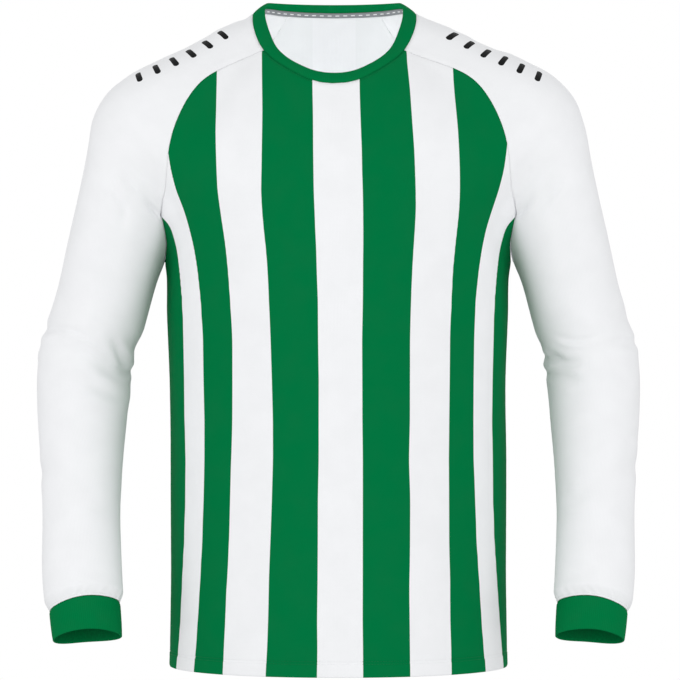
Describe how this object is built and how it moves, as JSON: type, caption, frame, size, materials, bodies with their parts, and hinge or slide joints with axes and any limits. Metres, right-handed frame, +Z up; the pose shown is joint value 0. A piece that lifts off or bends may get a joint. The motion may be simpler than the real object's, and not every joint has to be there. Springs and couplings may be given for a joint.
{
  "type": "long-sleeve football shirt",
  "caption": "Long-sleeve football shirt with raglan sleeves, ribbed crew neck and ribbed cuffs, in vertical green and white stripes, filled out as worn and empty inside.",
  "frame": {"origin": "middle of the neck at the height where the wearer's shoulders carry the shirt", "axes": "+Z up towards the neck, -Y is the front of the shirt, +X is the wearer's left sleeve"},
  "size_m": [0.6625, 0.2525, 0.7339],
  "materials": {
    "striped_knit": "smooth sports knit with vertical green and white stripes",
    "white_knit": "smooth white sports knit",
    "green_rib": "green rib knit",
    "grey_tape": "woven grey tape"
  },
  "bodies": {
    "root": {"front_panel": "striped_knit", "back_panel": "striped_knit", "sleeve_left": "white_knit", "sleeve_right": "white_knit", "collar": "green_rib", "cuff_left": "green_rib", "cuff_right": "green_rib", "neck_tape": "grey_tape"}
  },
  "joints": []
}
